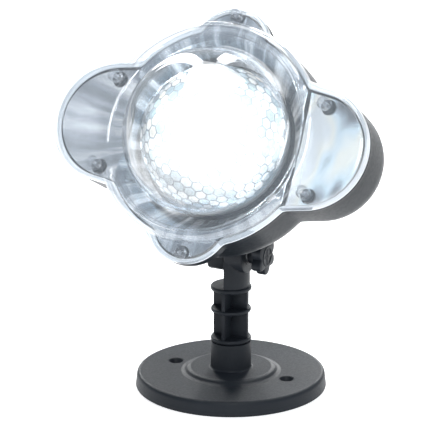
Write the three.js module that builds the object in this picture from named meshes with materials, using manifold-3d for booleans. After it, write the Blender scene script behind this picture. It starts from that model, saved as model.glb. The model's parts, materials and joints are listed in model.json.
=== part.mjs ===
// A snow projector lamp on a round table base: a clear domed cover over a turning faceted crystal, a black
// rear housing with two mirrored wings, and a ribbed post with a star knob that clamps the tilt joint.
// Millimetres, +Z up. The origin is the centre of the base's underside, and the lamp faces -Y.
import * as THREE from "three";
import { mergeVertices } from "three/addons/utils/BufferGeometryUtils.js";
import Module from "manifold-3d";

const wasm = await Module();
wasm.setup();

// ---- driving dimensions -------------------------------------------------------------------------------
const GAP = 0.3; // air kept between pieces that touch
const OUTLINE_SIDES = 40; // facets round the head's outline
const BOSS_SIDES = 10; // facets round small bosses, screws and their holes

const BASE_R = 60;
const BASE_H = 9.5;
const BASE_WALL = 3;
const PLATEAU_R = 30;
const PLATEAU_H = 12;
const COLLAR_R = 12.7;
const COLLAR_TOP = 29.5;
const SOCKET_R = 11.3;
const SOCKET_FLOOR = 6;
const BASE_SCREW_X = 38.5;
const BASE_SCREW_R = 2.3;
const COUNTERSINK_R = 4.9;
const BASE_BOSS_R = 7;
const RIB_T = 1.8;

const POST_RING_R = 12.4;
const POST_WEB_R = 11.5;
const POST_WEB_T = 2.3;
const POST_RING_T = 2.2;
const POST_RING_TOPS = [32.6, 51.8, 66];
const ARM_R = 11.8;

const PIVOT_Z = 88.4;
const PIVOT_EYE_R = 12.4;
const REST_TILT = 32; // degrees that the lamp looks above the horizon at rest
const BOLT_R = 2.5;
const BOLT_HOLE_R = BOLT_R + GAP + 0.1;
const HEX_R = 4.6; // corner radius of the nut and of the bolt's head

const KNOB_R = 12.2;
const KNOB_INNER_X = 18.5;
const KNOB_OUTER_X = 25;
const KNOB_HUB_R = 5.8;
const KNOB_HUB_X = 13.6;
const KNOB_POINTS = 6;

// The head is drawn in the optics frame: X sideways, Y up and Z forward along the lamp's axis. Its Z = 0 is
// the plane through the pivot.
const AXIS_ABOVE_PIVOT = 55.2;
const BACK_Z = 18;
const FLANGE_Z = 68;
const HOUSING_WALL = 2.5;
const BACK_SIDE_DEPTH = 24; // depth behind the flange where the housing's wall turns into its rounded back
const BACK_DRAFT = 1.3;
const BACK_ROUND = 24;
const RIM_Z = 69.8;
const COVER_WALL = 2;
const DRUM_R = 70.8;
const EAR_OFFSET = 55;
const EAR_R = 27;
const EAR_DEPTH = 6; // the ears are only a thick flange, unlike the deep drum and wings
const LOBE_OFFSET = 66.4;
const LOBE_R = 38.6;
const LOBE_FLARE = THREE.MathUtils.degToRad(81); // direction of the normal of a wing's straight side
const JUNCTION_BLEND = 0.7;

const DOME_R = 53.6;
const DOME_CENTRE_Z = 72;
const VALLEY_Z = 79;
const BEAD_R = 66.2;
const BEAD_HALF_WIDTH = 4.2;
const BEAD_HEIGHT = 5.5;
const BEAD_HEIGHT_OVER_WINGS = 2;
const WING_FACE_Z = 78;
const EAR_FACE_Z = 76;

const PILLARS = [
  [70.8, 28.3],
  [70.8, -28.3],
  [-70.8, 28.3],
  [-70.8, -28.3],
  [0, 75.8],
  [0, -75.8],
];
const PILLAR_R = 4.3;
const PILLAR_HOLE_R = PILLAR_R + 0.6;
const SCREW_R = 1.4;
const SCREW_HEAD_R = 2.9;
const SCREW_CLEARANCE = 0.4;
const SCREW_SEAT_Z = 44;
const EAR_SEAT_Z = 65;

const CRYSTAL_R = 46;
const CRYSTAL_CENTRE_Z = 62;
const CRYSTAL_WALL = 3;
const DECK_Z = 57;
const DECK_T = 3;
const GEAR_MODULE = 1.5;
const GEAR_TEETH = 40;
const PINION_TEETH = 8;
const GEAR_Z = 44;
const GEAR_T = 5;
const SHAFT_DISTANCE = (GEAR_MODULE * (GEAR_TEETH + PINION_TEETH)) / 2;
const SLEEVE_R = 24.6;
const BUSH_R = 24.1;
const SINK_R = 20.6;

const WING_INNER_X = 57.5;
const LINER_INSET = 4.4;
const LINER_Z = 69;
const LINER_T = 1.5;
const BOWL_INNER_R = 49.5;
const BOWL_INNER_Z = 54;
const BOWL_OUTER_R = 61;

const GASKET_INSET = 3.2;

const LED_BOARD_R = 16;
const EMITTER_R = 7;
const LENS_R = 24;
const LENS_H = 18;
const MOTOR_R = 12;
const MOTOR_SCREW_SIDES = [-15.5, 15.5];
const MOTOR_FOOT = BACK_Z + HOUSING_WALL + 5.5;
const BRACKET_T = 1.5;
const SHAFT_R = 1.5;

const GLAND = { x: 30, y: -18, boreR: 3, threadR: 6, holeR: 6.4, hexR: 8.6 };
const BOARD = { x: -68, y: 0, width: 34, height: 40, z: 30, t: 1.6 };
const BOARD_POSTS = [-16, 16];

const MATERIALS = {
  black: { color: 0x17191b, roughness: 0.45, metalness: 0 },
  clear: { color: 0xeef4f8, roughness: 0.03, metalness: 0, transparent: true, opacity: 0.3 },
  mirror: { color: 0xd8dadd, roughness: 0.15, metalness: 1 },
  seal: { color: 0xf2f5f7, roughness: 0.5, metalness: 0 },
  steel: { color: 0x9a9c9e, roughness: 0.3, metalness: 1 },
  brass: { color: 0xb58d3d, roughness: 0.3, metalness: 1 },
  aluminium: { color: 0xb9bcbf, roughness: 0.35, metalness: 1 },
  board: { color: 0xe8e8e4, roughness: 0.5, metalness: 0 },
  led: { color: 0xfff6d8, roughness: 0.4, metalness: 0 },
  white: { color: 0xe4e4e0, roughness: 0.5, metalness: 0 },
};
for (const [name, look] of Object.entries(MATERIALS)) {
  MATERIALS[name] = new THREE.MeshStandardMaterial(look);
}

// ---- solids -------------------------------------------------------------------------------------------
// A closed geometry as a manifold-3d solid whose faces point out.
function solid(geometry) {
  const bare = geometry.clone();
  bare.deleteAttribute("normal");
  bare.deleteAttribute("uv");
  const merged = mergeVertices(bare, 1e-4);
  const corners = [];
  for (let i = 0; i < merged.index.count; i += 3) {
    const [a, b, c] = [0, 1, 2].map((k) => merged.index.getX(i + k));
    if (a !== b && b !== c && c !== a) corners.push(a, b, c);
  }
  const make = (triVerts) =>
    new wasm.Manifold(
      new wasm.Mesh({
        numProp: 3,
        vertProperties: new Float32Array(merged.attributes.position.array),
        triVerts: new Uint32Array(triVerts),
      }),
    );
  const made = make(corners);
  return made.volume() > 0 ? made : make(corners.reverse());
}

function geometryOf(body) {
  const mesh = body.getMesh();
  const points = new Float32Array(mesh.numVert * 3);
  for (let i = 0; i < mesh.numVert; i++)
    points.set(mesh.vertProperties.subarray(i * mesh.numProp, i * mesh.numProp + 3), i * 3);
  const geometry = new THREE.BufferGeometry()
    .setAttribute("position", new THREE.BufferAttribute(points, 3))
    .setIndex(new THREE.BufferAttribute(new Uint32Array(mesh.triVerts), 1));
  geometry.computeVertexNormals();
  return geometry;
}

const union = (...bodies) => bodies.reduce((all, body) => all.add(body));

// A body turned round the Z axis from [radius, z] points; a profile off the axis closes on itself.
function turned(profile, segments, x = 0, y = 0) {
  const points = profile.map(([r, z]) => new THREE.Vector2(r, z));
  if (profile[0][0] > 0) points.push(points[0].clone());
  return solid(new THREE.LatheGeometry(points, segments).rotateX(Math.PI / 2).translate(x, y, 0));
}

const rod = (r, z0, z1, segments, x = 0, y = 0) =>
  turned([[0, z0], [r, z0], [r, z1], [0, z1]], segments, x, y);

const tube = (inner, outer, z0, z1, segments, x = 0, y = 0) =>
  turned([[inner, z0], [outer, z0], [outer, z1], [inner, z1]], segments, x, y);

// A rod along X through the height z.
const crossRod = (r, x0, x1, z, segments) =>
  solid(
    new THREE.CylinderGeometry(r, r, x1 - x0, segments)
      .rotateZ(Math.PI / 2)
      .translate((x0 + x1) / 2, 0, z),
  );

function box(x0, x1, y0, y1, z0, z1) {
  const geometry = new THREE.BoxGeometry(x1 - x0, y1 - y0, z1 - z0);
  return solid(geometry.translate((x0 + x1) / 2, (y0 + y1) / 2, (z0 + z1) / 2));
}

function extruded(shape, depth, z = 0, curveSegments = 6) {
  const geometry = new THREE.ExtrudeGeometry(shape, { depth, bevelEnabled: false, curveSegments });
  return geometry.translate(0, 0, z);
}

function regularShape(sides, radius) {
  const shape = new THREE.Shape();
  for (let i = 0; i < sides; i++) {
    const angle = (2 * Math.PI * i) / sides;
    shape[i ? "lineTo" : "moveTo"](radius * Math.cos(angle), radius * Math.sin(angle));
  }
  return shape;
}

// A body round the lamp's axis whose [radius, z] profile changes with the angle. A profile that starts and
// ends on the axis closes there, and any other closes on itself.
function polar(profileAt, segments) {
  const rings = [];
  for (let i = 0; i < segments; i++) rings.push(profileAt((2 * Math.PI * i) / segments));
  const count = rings[0].length;
  const poles = rings[0][0][0] === 0;
  const triangles = [];
  const point = (i, j) => {
    const angle = (2 * Math.PI * (i % segments)) / segments;
    const [r, z] = rings[i % segments][j % count];
    return [r * Math.cos(angle), r * Math.sin(angle), z];
  };
  for (let i = 0; i < segments; i++)
    for (let j = 0; j < (poles ? count - 1 : count); j++) {
      triangles.push(...point(i, j), ...point(i + 1, j), ...point(i + 1, j + 1));
      triangles.push(...point(i, j), ...point(i + 1, j + 1), ...point(i, j + 1));
    }
  return solid(
    new THREE.BufferGeometry()
      .setAttribute("position", new THREE.Float32BufferAttribute(triangles, 3))
      .setIndex([...Array(triangles.length / 3).keys()]),
  );
}

// ---- the head's outline -------------------------------------------------------------------------------
// Distance from the axis to the far side of a circle whose centre lies at offset along the given direction.
function rayToCircle(along, across, offset, radius) {
  const miss = offset * across;
  return miss < radius ? offset * along + Math.sqrt(radius * radius - miss * miss) : 0;
}

function wingRadius(along, across, inset) {
  const angle = Math.atan2(across, along);
  const straight = LOBE_OFFSET * Math.cos(LOBE_FLARE) + LOBE_R - inset;
  const tangentX = LOBE_OFFSET + (LOBE_R - inset) * Math.cos(LOBE_FLARE);
  const tangentY = (LOBE_R - inset) * Math.sin(LOBE_FLARE);
  if (angle > Math.atan2(tangentY, tangentX)) return straight / Math.cos(angle - LOBE_FLARE);
  return rayToCircle(along, across, LOBE_OFFSET, LOBE_R - inset);
}

// Radius of the outline, a drum with an ear above and below and a wing on each side, drawn in by inset.
function outlineRadius(angle, inset = 0, ears = true) {
  const along = Math.abs(Math.cos(angle));
  const across = Math.abs(Math.sin(angle));
  const reaches = [DRUM_R - inset, wingRadius(along, across, inset)];
  if (ears) reaches.push(rayToCircle(across, along, EAR_OFFSET, EAR_R - inset));
  const most = Math.max(...reaches);
  const sum = reaches.reduce((total, r) => total + Math.exp((r - most) / JUNCTION_BLEND), 0);
  return most + JUNCTION_BLEND * Math.log(sum);
}

// 1 over a wing, 0 over the drum and ears, with a short ramp at the junctions.
function wingShare(angle) {
  const start = THREE.MathUtils.degToRad(37);
  const end = THREE.MathUtils.degToRad(30);
  const fromSide = Math.atan2(Math.abs(Math.sin(angle)), Math.abs(Math.cos(angle)));
  return 1 - THREE.MathUtils.smoothstep(fromSide, end, start);
}

const arcPoints = (count, from, to, at) =>
  Array.from({ length: count + 1 }, (_, i) => at(from + ((to - from) * i) / count));

// ---- base ---------------------------------------------------------------------------------------------
function baseDisc() {
  const fillet = 2;
  const skin = turned(
    [
      [0, 0],
      [BASE_R, 0],
      [BASE_R - 0.7, BASE_H - fillet],
      [BASE_R - 1.3, BASE_H - 0.6],
      [BASE_R - 2.7, BASE_H],
      [PLATEAU_R + 1.5, BASE_H],
      [PLATEAU_R - 1.5, BASE_H + 0.8],
      [PLATEAU_R - 4, PLATEAU_H],
      [COLLAR_R, PLATEAU_H],
      [COLLAR_R, COLLAR_TOP],
      [0, COLLAR_TOP],
    ],
    40,
  );
  const hollow = turned(
    [
      [COLLAR_R + 3, -1],
      [BASE_R - BASE_WALL, -1],
      [BASE_R - BASE_WALL - 1, BASE_H - BASE_WALL],
      [COLLAR_R + 3, BASE_H - BASE_WALL],
    ],
    40,
  );
  let disc = skin.subtract(hollow);
  for (let i = 0; i < 6; i++) {
    const rib = new THREE.BoxGeometry(BASE_R - COLLAR_R - 4, RIB_T, BASE_H - BASE_WALL + 0.5);
    rib.translate((BASE_R + COLLAR_R) / 2, 0, (BASE_H - BASE_WALL + 0.5) / 2);
    disc = disc.add(solid(rib.rotateZ((Math.PI * (2 * i + 1)) / 6)));
  }
  for (const side of [-1, 1]) {
    const x = side * BASE_SCREW_X;
    disc = disc.add(rod(BASE_BOSS_R, 0, BASE_H - 1, 20, x));
    const screwHole = [
      [0, -1],
      [BASE_SCREW_R, -1],
      [BASE_SCREW_R, BASE_H - 3],
      [COUNTERSINK_R, BASE_H - 0.4],
      [COUNTERSINK_R, BASE_H + 1],
      [0, BASE_H + 1],
    ];
    disc = disc.subtract(turned(screwHole, 20, x));
  }
  return disc.subtract(rod(SOCKET_R, SOCKET_FLOOR, COLLAR_TOP + 1, 32));
}

// ---- post ---------------------------------------------------------------------------------------------
function post() {
  const [low, middle, high] = POST_RING_TOPS;
  const ringAt = (top) => rod(POST_RING_R, top - POST_RING_T, top, 32);
  const plug = rod(SOCKET_R - GAP, SOCKET_FLOOR + GAP, low - POST_RING_T + 0.5, 32);
  const web = [
    box(-POST_WEB_T / 2, POST_WEB_T / 2, -POST_WEB_R, POST_WEB_R, low - 0.5, high - 0.5),
    box(-POST_WEB_R, POST_WEB_R, -POST_WEB_T / 2, POST_WEB_T / 2, low - 0.5, high - 0.5),
  ];
  const eye = crossRod(PIVOT_EYE_R, GAP, COLLAR_R, PIVOT_Z, 28);
  const belowPivot = box(GAP, COLLAR_R, -ARM_R, ARM_R, high - 1, PIVOT_Z);
  const armRound = rod(ARM_R, high - 1, PIVOT_Z + PIVOT_EYE_R + 1, 32);
  const arm = armRound.intersect(belowPivot.add(eye));
  const knobSeat = crossRod(KNOB_HUB_R + 0.8, GAP, COLLAR_R - 0.1, PIVOT_Z, 24);
  const boltHole = crossRod(BOLT_HOLE_R, -1, COLLAR_R + 1, PIVOT_Z, 20);
  return union(plug, ringAt(low), ringAt(middle), ringAt(high), ...web, arm, knobSeat).subtract(boltHole);
}

// ---- clamp hardware -----------------------------------------------------------------------------------
function starKnob() {
  const valley = KNOB_R * 0.72;
  const star = new THREE.Shape();
  const steps = KNOB_POINTS * 8;
  for (let i = 0; i < steps; i++) {
    const angle = (2 * Math.PI * i) / steps;
    const lobe = Math.pow(0.5 + 0.5 * Math.cos(KNOB_POINTS * angle), 0.6);
    const r = valley + (KNOB_R - valley) * lobe;
    star[i ? "lineTo" : "moveTo"](r * Math.cos(angle), r * Math.sin(angle));
  }
  const blade = extruded(star, KNOB_OUTER_X - KNOB_INNER_X, KNOB_INNER_X);
  const hub = rod(KNOB_HUB_R, KNOB_HUB_X, KNOB_INNER_X + 1, 24);
  const nutPocket = extruded(regularShape(6, HEX_R + GAP), 5, KNOB_HUB_X - 1);
  const bore = rod(BOLT_HOLE_R, KNOB_HUB_X - 1, KNOB_OUTER_X - 1.5, 20);
  return union(solid(blade), hub).subtract(solid(nutPocket)).subtract(bore);
}

function knobNut() {
  const bore = rod(BOLT_HOLE_R, KNOB_HUB_X - 1, KNOB_HUB_X + 5, 20);
  return solid(extruded(regularShape(6, HEX_R), 3.6, KNOB_HUB_X)).subtract(bore);
}

const clampWasher = () => tube(BOLT_HOLE_R, KNOB_HUB_R - GAP, COLLAR_R + 0.15, KNOB_HUB_X - 0.15, 24);

function hingeBolt() {
  const head = solid(extruded(regularShape(6, HEX_R), 3.5, -12.2));
  return head.add(rod(BOLT_R, -9, KNOB_OUTER_X - 2.5, 20));
}

// ---- rear housing -------------------------------------------------------------------------------------
// How far the housing's skin is drawn in at a depth behind the flange.
function housingInset(depth) {
  const side = Math.min(depth / BACK_SIDE_DEPTH, 1) * BACK_DRAFT;
  const over = Math.max(0, depth - BACK_SIDE_DEPTH) / (FLANGE_Z - BACK_Z - BACK_SIDE_DEPTH);
  return side + BACK_ROUND * (1 - Math.sqrt(Math.max(0, 1 - over * over)));
}

function housingVolume(skin, ears) {
  const deepest = FLANGE_Z - BACK_Z;
  const roundSteps = 4;
  const earInset = housingInset(EAR_DEPTH);
  return polar((angle) => {
    const back = BACK_Z + skin;
    const profile = [[0, back]];
    for (let i = roundSteps; i >= 0; i--) {
      const turn = (Math.PI / 2) * (i / roundSteps);
      const depth = BACK_SIDE_DEPTH + (deepest - BACK_SIDE_DEPTH) * Math.sin(turn);
      const z = Math.max(FLANGE_Z - depth, back + 0.02 * (roundSteps - i));
      profile.push([outlineRadius(angle, housingInset(depth) + skin, false), z]);
    }
    if (ears) {
      profile.push([outlineRadius(angle, earInset + skin, false), FLANGE_Z - EAR_DEPTH]);
      profile.push([outlineRadius(angle, earInset + skin), FLANGE_Z - EAR_DEPTH]);
    }
    profile.push([outlineRadius(angle, skin, ears), FLANGE_Z + skin * 2], [0, FLANGE_Z + skin * 2]);
    return profile;
  }, OUTLINE_SIDES);
}

// The half-lap lug behind the housing, in the optics frame; it meets the post's arm on the plane x = 0.
function hingeLug() {
  const top = AXIS_ABOVE_PIVOT - 34;
  const side = new THREE.Shape();
  side.moveTo(BACK_Z + 1.2, -top);
  side.lineTo(BACK_Z + 1.2, -AXIS_ABOVE_PIVOT + 2);
  side.lineTo(BACK_Z + 3.5, -AXIS_ABOVE_PIVOT - 4);
  side.lineTo(3, -AXIS_ABOVE_PIVOT - PIVOT_EYE_R + 0.4);
  side.absarc(0, -AXIS_ABOVE_PIVOT, PIVOT_EYE_R, -Math.PI / 2 + 0.25, Math.PI / 2 + 0.55, true);
  side.closePath();
  // The shape's x is the optics frame's z, and its y is the optics frame's y.
  const plate = extruded(side, COLLAR_R - 2 * GAP, 0, 12).rotateY(-Math.PI / 2).translate(-GAP, 0, 0);
  return solid(plate);
}

// A rod or hexagon along the optics frame's X, through the pivot.
const alongPivot = (geometry) => geometry.rotateY(Math.PI / 2).translate(0, -AXIS_ABOVE_PIVOT, 0);

function rearHousing() {
  const outer = housingVolume(0, true);
  let body = outer.subtract(housingVolume(HOUSING_WALL, false));
  const rimWidth = 3.6;
  const rim = polar(
    (angle) => [
      [outlineRadius(angle, rimWidth), FLANGE_Z],
      [outlineRadius(angle, 1), FLANGE_Z],
      [outlineRadius(angle, 1), FLANGE_Z - 4],
    ],
    OUTLINE_SIDES,
  );
  body = body.add(rim);
  for (const [x, y] of PILLARS) {
    const tower = rod(PILLAR_R, BACK_Z, FLANGE_Z - 0.2, BOSS_SIDES, x, y).intersect(outer);
    body = body.add(tower);
    body = body.subtract(rod(SCREW_R + SCREW_CLEARANCE, BACK_Z, FLANGE_Z + 1, BOSS_SIDES, x, y));
    body = body.subtract(rod(SCREW_HEAD_R + SCREW_CLEARANCE, BACK_Z - 1, seatOf(x), BOSS_SIDES, x, y));
  }
  for (const y of BOARD_POSTS) {
    body = body.add(rod(3, BACK_Z + 1, BOARD.z - GAP, BOSS_SIDES, BOARD.x, y));
  }
  for (const x of MOTOR_SCREW_SIDES) {
    body = body.add(rod(3.2, BACK_Z + 1, MOTOR_FOOT - BRACKET_T - GAP, BOSS_SIDES, x, MOTOR_Y));
    body = body.subtract(rod(1.4, BACK_Z + HOUSING_WALL, MOTOR_FOOT, BOSS_SIDES, x, MOTOR_Y));
  }
  const lug = hingeLug();
  const hexPocket = solid(alongPivot(extruded(regularShape(6, HEX_R + 0.4), 6, -14.5)));
  const pin = new THREE.CylinderGeometry(BOLT_HOLE_R, BOLT_HOLE_R, 40, 20).rotateX(Math.PI / 2);
  return body
    .add(lug)
    .subtract(hexPocket)
    .subtract(solid(alongPivot(pin)))
    .subtract(rod(GLAND.holeR, BACK_Z - 1, BACK_Z + 5, 20, GLAND.x, GLAND.y));
}

// ---- front cover --------------------------------------------------------------------------------------
// The cover's surface, drawn in by skin: dome, valley, bead, then a wing's or ear's face and the side wall.
function coverVolume(skin) {
  const domeR = DOME_R - skin;
  const valley = VALLEY_Z - skin;
  const foot = Math.acos((valley + 1.5 - DOME_CENTRE_Z) / domeR);
  const halfWidth = BEAD_HALF_WIDTH - skin * 0.8;
  const bottom = RIM_Z - skin;
  return polar((angle) => {
    const share = wingShare(angle);
    const earShare = 1 - THREE.MathUtils.smoothstep(Math.abs(Math.cos(angle)), 0.2, 0.45);
    const height = THREE.MathUtils.lerp(BEAD_HEIGHT, BEAD_HEIGHT_OVER_WINGS, share);
    const face = THREE.MathUtils.lerp(WING_FACE_Z, EAR_FACE_Z, earShare) - skin;
    const edge = outlineRadius(angle, skin);
    const footR = BEAD_R + halfWidth;
    const corner = Math.min(3, (edge - footR) * 0.7);
    return [
      ...arcPoints(4, 0, foot, (a) => [domeR * Math.sin(a), DOME_CENTRE_Z + domeR * Math.cos(a)]),
      [domeR + 1.3, valley],
      ...arcPoints(3, Math.PI, 0, (a) => [BEAD_R + halfWidth * Math.cos(a), valley + height * Math.sin(a)]),
      [footR + 0.1, face],
      ...arcPoints(2, Math.PI / 2, 0, (a) => [
        edge - corner * (1 - Math.cos(a)),
        face - 0.3 - corner * (1 - Math.sin(a)),
      ]),
      [edge, bottom],
      [0, bottom],
    ];
  }, OUTLINE_SIDES);
}

function frontCover() {
  const outer = coverVolume(0);
  let cover = outer.subtract(coverVolume(COVER_WALL));
  for (const [x, y] of PILLARS) {
    cover = cover.add(rod(PILLAR_R, RIM_Z, VALLEY_Z, BOSS_SIDES, x, y).intersect(outer));
    cover = cover.subtract(rod(SCREW_R + SCREW_CLEARANCE, RIM_Z - 1, RIM_Z + 4.5, BOSS_SIDES, x, y));
  }
  return cover;
}

const coverGasket = () =>
  polar(
    (angle) => [
      [outlineRadius(angle, GASKET_INSET), FLANGE_Z + GAP],
      [outlineRadius(angle, GAP), FLANGE_Z + GAP],
      [outlineRadius(angle, GAP), RIM_Z - GAP],
      [outlineRadius(angle, GASKET_INSET), RIM_Z - GAP],
    ],
    OUTLINE_SIDES,
  );

// A wing's screw sits deep in its tower, and an ear's screw on the back of the ear.
const seatOf = (x) => (x === 0 ? EAR_SEAT_Z : SCREW_SEAT_Z);

function coverScrew(x, y) {
  const seat = seatOf(x);
  const profile = [
    [0, seat - 2.5],
    [SCREW_HEAD_R, seat - 2.5],
    [SCREW_HEAD_R, seat - GAP],
    [SCREW_R, seat - GAP],
    [SCREW_R, RIM_Z + 4],
    [0, RIM_Z + 4],
  ];
  return turned(profile, BOSS_SIDES, x, y);
}

// ---- reflectors ---------------------------------------------------------------------------------------
function bowlZ(r) {
  const slope = (LINER_Z + LINER_T - BOWL_INNER_Z) / (BOWL_OUTER_R - BOWL_INNER_R);
  return Math.min(LINER_Z + LINER_T, BOWL_INNER_Z + (r - BOWL_INNER_R) * slope);
}

function reflectorBowl() {
  const bowl = polar((angle) => {
    const cut = (WING_INNER_X - 1) / Math.max(Math.abs(Math.cos(angle)), 1e-3);
    const outer = Math.min(outlineRadius(angle, LINER_INSET), cut);
    const bend = Math.min(BOWL_OUTER_R, outer - 0.6);
    const front = [BOWL_INNER_R, bend, outer].map((r) => [r, bowlZ(r)]);
    const back = [outer, bend, BOWL_INNER_R].map((r) => [r, bowlZ(r) - LINER_T]);
    return [...front, ...back];
  }, OUTLINE_SIDES);
  const hole = ([x, y]) => rod(PILLAR_HOLE_R, LINER_Z - 9, LINER_Z + 9, BOSS_SIDES, x, y);
  return PILLARS.reduce((left, pillar) => left.subtract(hole(pillar)), bowl);
}

// A dished mirror that fills one wing, from its straight inner edge to the rim.
function wingMirror(side) {
  const tip = LOBE_OFFSET + LOBE_R - LINER_INSET;
  const dishZ = (x, y) => {
    const outward = (x - WING_INNER_X) / (tip - WING_INNER_X);
    return LINER_Z - 7 + 6.5 * outward * outward + 3 * (y / LOBE_R) ** 2;
  };
  const dish = polar((angle) => {
    const rim = outlineRadius(angle, LINER_INSET);
    const front = arcPoints(5, WING_INNER_X * 0.9, rim, (r) => [
      r,
      dishZ(Math.abs(r * Math.cos(angle)), r * Math.sin(angle)) + LINER_T,
    ]);
    const back = front.map(([r, z]) => [r, z - LINER_T]).reverse();
    return [...front, ...back];
  }, OUTLINE_SIDES);
  const inner = side * WING_INNER_X;
  const outer = side * (tip + 1);
  const wing = box(Math.min(inner, outer), Math.max(inner, outer), -LOBE_R, LOBE_R, 0, VALLEY_Z);
  const holes = PILLARS.filter(([x]) => x * side > 0);
  return holes.reduce(
    (left, [x, y]) => left.subtract(rod(PILLAR_HOLE_R, LINER_Z - 12, LINER_Z + 9, BOSS_SIDES, x, y)),
    dish.intersect(wing),
  );
}

// ---- light engine -------------------------------------------------------------------------------------
const SINK_TOP = DECK_Z + DECK_T + 0.5;

function heatSink() {
  const floor = BACK_Z + HOUSING_WALL + GAP;
  const foot = rod(SINK_R + 1.4, floor, floor + 3, 24);
  const core = rod(9, floor, SINK_TOP, 20);
  const cap = rod(SINK_R - 0.2, SINK_TOP - 2, SINK_TOP, 24);
  const fins = [0, 1, 2, 3].map((i) => {
    const fin = new THREE.BoxGeometry(SINK_R * 2 - 0.8, 1.6, SINK_TOP - floor - 1);
    fin.rotateZ((Math.PI * i) / 4);
    return solid(fin.translate(0, 0, (SINK_TOP + floor) / 2));
  });
  return union(foot, core, cap, ...fins);
}

const bearingBush = () =>
  turned(
    [
      [SINK_R + 0.4, GEAR_Z - 1.8],
      [SLEEVE_R + 2.4, GEAR_Z - 1.8],
      [SLEEVE_R + 2.4, GEAR_Z - 0.4],
      [BUSH_R, GEAR_Z - 0.4],
      [BUSH_R, DECK_Z + DECK_T],
      [SINK_R + 0.4, DECK_Z + DECK_T],
    ],
    32,
  );

const LED_PLATE_Z = SINK_TOP + GAP;
const ledPlate = () => rod(SLEEVE_R + 3.4, LED_PLATE_Z, LED_PLATE_Z + 1.5, 32);
const LED_BOARD_Z = LED_PLATE_Z + 1.5 + GAP;
const ledBoard = () => rod(LED_BOARD_R, LED_BOARD_Z, LED_BOARD_Z + 1.6, 24);
const EMITTER_Z = LED_BOARD_Z + 1.6 + GAP;
const ledEmitter = () => rod(EMITTER_R, EMITTER_Z, EMITTER_Z + 1, 20);
const LENS_Z = EMITTER_Z + 1 + GAP;
const lensRing = () => tube(LED_BOARD_R + GAP, LENS_R, LED_BOARD_Z, LENS_Z - GAP, 28);

function ledLens() {
  const crownAt = (a) => [LENS_R * Math.sin(a), LENS_Z + 1 + LENS_H * Math.cos(a)];
  const crown = arcPoints(5, Math.PI / 2, 0, crownAt);
  return turned([[0, LENS_Z], [LENS_R, LENS_Z], ...crown], 28);
}

const smallScrew = (x, y, seat, length) =>
  turned(
    [
      [0, seat - length],
      [1.1, seat - length],
      [1.1, seat + GAP],
      [2.1, seat + GAP],
      [2.1, seat + 1.6],
      [0, seat + 1.6],
    ],
    BOSS_SIDES,
    x,
    y,
  );

// ---- crystal and drive --------------------------------------------------------------------------------
function crystalDome() {
  const seat = DECK_Z + DECK_T + GAP;
  const start = Math.acos((seat + 3 - CRYSTAL_CENTRE_Z) / CRYSTAL_R);
  const inner = CRYSTAL_R - CRYSTAL_WALL;
  const shellAt = (r) => (a) => [r * Math.sin(a), CRYSTAL_CENTRE_Z + r * Math.cos(a)];
  return turned(
    [
      [inner - 0.2, seat],
      [CRYSTAL_R + 1, seat],
      [CRYSTAL_R + 1, seat + 2],
      ...arcPoints(5, start, 0, shellAt(CRYSTAL_R)),
      ...arcPoints(5, 0, start, shellAt(inner)),
    ],
    32,
  );
}

// A spur gear's outline with straight-sided teeth; phase turns it by a share of one tooth.
function gearShape(teeth, phase) {
  const pitch = (GEAR_MODULE * teeth) / 2;
  const corners = [
    [-0.34, pitch - 1.25 * GEAR_MODULE],
    [-0.13, pitch + 0.85 * GEAR_MODULE],
    [0.13, pitch + 0.85 * GEAR_MODULE],
    [0.34, pitch - 1.25 * GEAR_MODULE],
  ];
  const shape = new THREE.Shape();
  for (let i = 0; i < teeth; i++)
    for (const [share, r] of corners) {
      const angle = ((i + share + phase) * 2 * Math.PI) / teeth;
      const started = i > 0 || share > corners[0][0];
      shape[started ? "lineTo" : "moveTo"](r * Math.cos(angle), r * Math.sin(angle));
    }
  return shape;
}

function domeCarrier() {
  const gear = solid(extruded(gearShape(GEAR_TEETH, 0), GEAR_T, GEAR_Z));
  const sleeve = rod(SLEEVE_R + 2.6, GEAR_Z, DECK_Z + 0.5, 40);
  const deck = rod(CRYSTAL_R + 1.5, DECK_Z, DECK_Z + DECK_T, 40);
  return union(gear, sleeve, deck).subtract(rod(SLEEVE_R, GEAR_Z - 1, DECK_Z + DECK_T + 1, 40));
}

// The shaft stands above the lamp's axis, where a tooth of the gear faces a gap of the pinion.
function drivePinion() {
  const pinion = extruded(gearShape(PINION_TEETH, 0.5), GEAR_T - 1, GEAR_Z + 0.5);
  const bore = rod(SHAFT_R + GAP, GEAR_Z - 1, GEAR_Z + GEAR_T + 1, 14, 0, SHAFT_DISTANCE);
  return solid(pinion.translate(0, SHAFT_DISTANCE, 0)).subtract(bore);
}

const MOTOR_Y = SHAFT_DISTANCE + 4;
const MOTOR_TOP = GEAR_Z - 2.2;
const motorShaft = () => rod(SHAFT_R, MOTOR_TOP + GAP, GEAR_Z + GEAR_T, 14, 0, SHAFT_DISTANCE);

function gearMotor() {
  const can = rod(MOTOR_R, MOTOR_FOOT + GAP, MOTOR_TOP, 28, 0, MOTOR_Y);
  const ears = box(-19, 19, MOTOR_Y - 3.5, MOTOR_Y + 3.5, MOTOR_FOOT + GAP, MOTOR_FOOT + GAP + 1.2);
  return MOTOR_SCREW_SIDES.reduce(
    (motor, x) => motor.subtract(rod(1.6, MOTOR_FOOT - 1, MOTOR_FOOT + 3, BOSS_SIDES, x, MOTOR_Y)),
    can.add(ears),
  );
}

function motorBracket() {
  const plate = box(-20, 20, MOTOR_Y - 6, MOTOR_Y + 6, MOTOR_FOOT - BRACKET_T, MOTOR_FOOT);
  return MOTOR_SCREW_SIDES.reduce(
    (bracket, x) => bracket.subtract(rod(1.6, MOTOR_FOOT - 3, MOTOR_FOOT + 1, BOSS_SIDES, x, MOTOR_Y)),
    plate,
  );
}

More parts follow.
